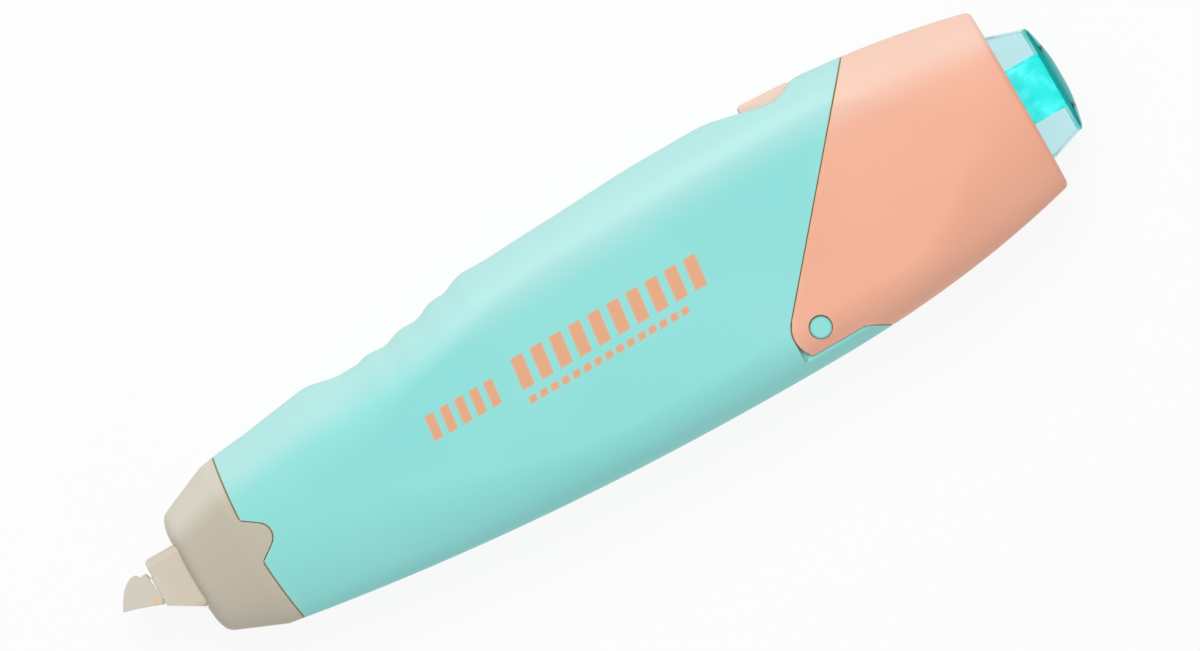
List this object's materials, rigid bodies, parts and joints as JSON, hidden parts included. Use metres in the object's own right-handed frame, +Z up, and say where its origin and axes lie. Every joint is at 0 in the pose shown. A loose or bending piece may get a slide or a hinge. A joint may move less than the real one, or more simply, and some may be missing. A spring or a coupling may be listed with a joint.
{
  "type": "correction tape",
  "caption": "Pen-shaped refillable correction tape with a ribbed finger grip, hinged rear cover, thumb release and a knock button that pushes the head out.",
  "frame": {"origin": "middle of the length and width, on the table face", "axes": "+X towards the knock button, +Y towards the finger grip, +Z up through the thickness"},
  "size_m": [0.13, 0.0324, 0.017],
  "materials": {
    "mint": "satin moulded",
    "peach": "satin moulded",
    "cream": "satin moulded",
    "teal": "clear tinted",
    "white": "moulded",
    "tape": "matt",
    "liner": "smooth",
    "steel": "drawn wire",
    "rubber": "matt"
  },
  "bodies": {
    "casing": {"body_shell_lower": "mint", "body_shell_upper": "mint", "nose_cone": "cream", "rocker_pin": "steel", "rocker_spring": "steel", "return_spring": "steel"},
    "cover": {"rear_cover": "peach"},
    "knock": {"knock_button": "teal"},
    "rocker": {"release_rocker": "peach"},
    "cartridge": {"cartridge_chassis": "white", "cartridge_plate": "white", "tip_sleeve": "cream", "tape_head": "cream", "feed_tape": "tape", "return_liner": "liner"},
    "supply": {"supply_reel": "white", "tape_roll": "tape", "supply_gear": "white", "clutch_ring": "rubber"},
    "idler": {"idler_gear": "white"},
    "takeup": {"takeup_reel": "white", "takeup_gear": "white", "liner_roll": "liner"}
  },
  "joints": [
    {"name": "cover_hinge", "type": "hinge", "parent": "casing", "child": "cover", "pos_m": [0.0246, -0.01184, 0.0085], "axis": [0, 0, -1], "range_deg": [0, 95]},
    {"name": "cartridge_slide", "type": "slide", "parent": "casing", "child": "cartridge", "axis": [1, 0, 0], "range_m": [0, 0.00949], "deforming": ["return_spring"]},
    {"name": "knock_slide", "type": "slide", "parent": "cover", "child": "knock", "axis": [1, 0, 0], "range_m": [0, 0.00949]},
    {"name": "supply_spin", "type": "hinge", "parent": "cartridge", "child": "supply", "pos_m": [0.001, 0, 0.0085], "axis": [0, 0, 1], "continuous": true},
    {"name": "idler_spin", "type": "hinge", "parent": "cartridge", "child": "idler", "pos_m": [-0.014, 0, 0.0085], "axis": [0, 0, 1], "continuous": true},
    {"name": "takeup_spin", "type": "hinge", "parent": "cartridge", "child": "takeup", "pos_m": [-0.023, 0, 0.0085], "axis": [0, 0, 1], "continuous": true},
    {"name": "rocker_pivot", "type": "hinge", "parent": "casing", "child": "rocker", "pos_m": [0.026, 0.0117, 0.0085], "axis": [0, 0, -1], "range_deg": [0, 6], "stiffness_Nm_per_rad": 0.05, "deforming": ["rocker_spring"]}
  ],
  "couplings": [
    {"joint": "knock_slide", "follows": "cartridge_slide", "ratio": 1},
    {"joint": "idler_spin", "follows": "supply_spin", "ratio": -3.1667},
    {"joint": "takeup_spin", "follows": "supply_spin", "ratio": 2.1111}
  ]
}
